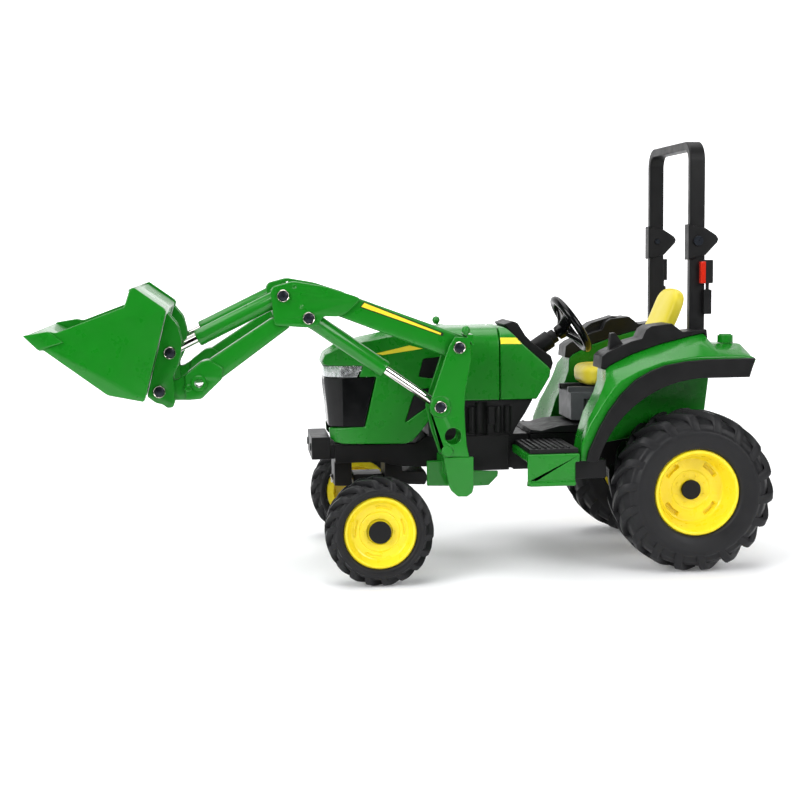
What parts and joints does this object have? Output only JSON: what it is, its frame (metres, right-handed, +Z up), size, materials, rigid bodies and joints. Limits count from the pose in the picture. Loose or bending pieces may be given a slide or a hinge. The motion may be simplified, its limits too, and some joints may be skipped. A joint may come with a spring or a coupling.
{
  "type": "toy tractor with front loader",
  "caption": "Toy compact tractor with a pivoting front loader arm and tipping bucket, steering front axle, rolling wheels and a folding roll bar.",
  "frame": {"origin": "on the ground, on the middle plane, under the middle of the overall length from bucket lip to rear tyre", "axes": "+X towards the rear of the tractor with the bucket at -X, +Y to the tractor's right, +Z up"},
  "size_m": [0.253, 0.1032, 0.1492],
  "materials": {
    "green_plastic": "moulded in colour, smooth and glossy",
    "green_metal": "smooth glossy enamel look over moulded plastic",
    "yellow_plastic": "moulded in colour, smooth and glossy",
    "black_plastic": "moulded in colour, satin with a fine spark-eroded grain",
    "grey_plastic": "moulded in colour, satin",
    "tyre_rubber": "moulded soft tyre, satin, with a barred tread",
    "bright_rod": "bright plated",
    "pin_steel": "turned and plated, black-oxide heads",
    "lamp_clear": "clear lens over a bright reflector",
    "lamp_red": "clear red moulding, glossy"
  },
  "bodies": {
    "chassis": {"chassis_frame": "black_plastic", "front_bumper": "black_plastic", "engine_block": "black_plastic", "rear_axle_housing": "black_plastic", "rear_axle_shaft": "pin_steel", "rear_hub_caps": "black_plastic", "drawbar": "black_plastic", "hood": "green_plastic", "grille": "black_plastic", "headlights": "lamp_clear", "hood_vents": "black_plastic", "cowl": "green_plastic", "dash_panel": "black_plastic", "steering_column": "black_plastic", "floor_deck": "green_plastic", "floor_mats": "black_plastic", "fender_left": "green_plastic", "fender_right": "green_plastic", "fender_trim_left": "black_plastic", "fender_trim_right": "black_plastic", "console_left": "black_plastic", "console_right": "black_plastic", "fuel_cap": "green_plastic", "seat_base": "grey_plastic", "seat": "yellow_plastic", "rops_posts": "black_plastic", "rops_pins": "pin_steel", "rear_lamps": "lamp_red", "mast_left": "green_metal", "mast_right": "green_metal", "mast_knobs": "green_metal", "mast_brackets": "green_metal", "mast_pins": "pin_steel", "rocking_pin": "pin_steel"},
    "boom": {"boom_arm_left": "green_metal", "boom_arm_right": "green_metal", "boom_cross_tube": "green_metal", "knee_pins": "pin_steel"},
    "bucket": {"bucket": "green_metal", "bucket_carrier": "green_metal", "bucket_pins": "pin_steel"},
    "lift_rod_set": {"lift_rods": "bright_rod"},
    "lift_barrel_set": {"lift_barrels": "green_metal"},
    "bucket_rod_set": {"bucket_rods": "bright_rod"},
    "bucket_barrel_set": {"bucket_barrels": "green_metal"},
    "roll_bar": {"rops_hoop": "black_plastic"},
    "steering_wheel": {"steering_wheel": "black_plastic"},
    "front_axle": {"front_axle": "black_plastic"},
    "steer_left": {"knuckle_left": "black_plastic"},
    "steer_right": {"knuckle_right": "black_plastic"},
    "tie_rod": {"tie_rod": "black_plastic"},
    "front_wheel_left": {"front_rim_left": "yellow_plastic", "front_tyre_left": "tyre_rubber"},
    "front_wheel_right": {"front_rim_right": "yellow_plastic", "front_tyre_right": "tyre_rubber"},
    "rear_wheel_left": {"rear_rim_left": "yellow_plastic", "rear_tyre_left": "tyre_rubber"},
    "rear_wheel_right": {"rear_rim_right": "yellow_plastic", "rear_tyre_right": "tyre_rubber"}
  },
  "joints": [
    {"name": "boom_lift", "type": "hinge", "parent": "chassis", "child": "boom", "pos_m": [0.0174, 0, 0.0791], "axis": [0, 1, 0], "range_deg": [-35, 30]},
    {"name": "bucket_tilt", "type": "hinge", "parent": "boom", "child": "bucket", "pos_m": [-0.0838, 0, 0.0662], "axis": [0, 1, 0], "range_deg": [-80, 5]},
    {"name": "lift_rod_swing", "type": "hinge", "parent": "chassis", "child": "lift_rod_set", "pos_m": [0.0107, 0, 0.059], "axis": [0, 1, 0], "range_deg": [-33, 28]},
    {"name": "lift_barrel_slide", "type": "slide", "parent": "lift_rod_set", "child": "lift_barrel_set", "axis": [-0.819, 0, 0.5738], "range_m": [-0.0124, 0.0107]},
    {"name": "bucket_rod_swing", "type": "hinge", "parent": "bucket", "child": "bucket_rod_set", "pos_m": [-0.08, 0, 0.0791], "axis": [0, 1, 0], "range_deg": [-6, 84]},
    {"name": "bucket_barrel_slide", "type": "slide", "parent": "bucket_rod_set", "child": "bucket_barrel_set", "axis": [0.9005, 0, 0.4349], "range_m": [-0.0013, 0.0176]},
    {"name": "roll_bar_fold", "type": "hinge", "parent": "chassis", "child": "roll_bar", "pos_m": [0.10395, 0, 0.1143], "axis": [0, 1, 0], "range_deg": [0, 100]},
    {"name": "steering_wheel_spin", "type": "hinge", "parent": "chassis", "child": "steering_wheel", "pos_m": [0.0648, 0, 0.0844], "axis": [-0.8359, 0, -0.5489], "continuous": true},
    {"name": "front_axle_rock", "type": "hinge", "parent": "chassis", "child": "front_axle", "pos_m": [-0.0115, 0, 0.0297], "axis": [1, 0, 0], "range_deg": [-4, 4]},
    {"name": "steer_left", "type": "hinge", "parent": "front_axle", "child": "steer_left", "pos_m": [-0.0115, -0.031, 0.0183], "axis": [0, 0, 1], "range_deg": [-18, 18]},
    {"name": "steer_right", "type": "hinge", "parent": "front_axle", "child": "steer_right", "pos_m": [-0.0115, 0.031, 0.0183], "axis": [0, 0, 1], "range_deg": [-18, 18]},
    {"name": "tie_rod_slide", "type": "slide", "parent": "front_axle", "child": "tie_rod", "axis": [0, 1, 0], "range_m": [-0.0026, 0.0026]},
    {"name": "front_wheel_left_spin", "type": "hinge", "parent": "steer_left", "child": "front_wheel_left", "pos_m": [-0.0115, 0, 0.0183], "axis": [0, 1, 0], "continuous": true},
    {"name": "front_wheel_right_spin", "type": "hinge", "parent": "steer_right", "child": "front_wheel_right", "pos_m": [-0.0115, 0, 0.0183], "axis": [0, 1, 0], "continuous": true},
    {"name": "rear_wheel_left_spin", "type": "hinge", "parent": "chassis", "child": "rear_wheel_left", "pos_m": [0.0985, 0, 0.028], "axis": [0, 1, 0], "continuous": true},
    {"name": "rear_wheel_right_spin", "type": "hinge", "parent": "chassis", "child": "rear_wheel_right", "pos_m": [0.0985, 0, 0.028], "axis": [0, 1, 0], "continuous": true}
  ],
  "couplings": [
    {"joint": "lift_rod_swing", "follows": "boom_lift", "ratio": 0.893},
    {"joint": "lift_barrel_slide", "follows": "boom_lift", "m_per_rad": 0.0198},
    {"joint": "bucket_rod_swing", "follows": "bucket_tilt", "ratio": -1.035},
    {"joint": "bucket_barrel_slide", "follows": "bucket_tilt", "m_per_rad": -0.01236},
    {"joint": "steer_right", "follows": "steer_left", "ratio": 1},
    {"joint": "tie_rod_slide", "follows": "steer_left", "m_per_rad": 0.008}
  ]
}
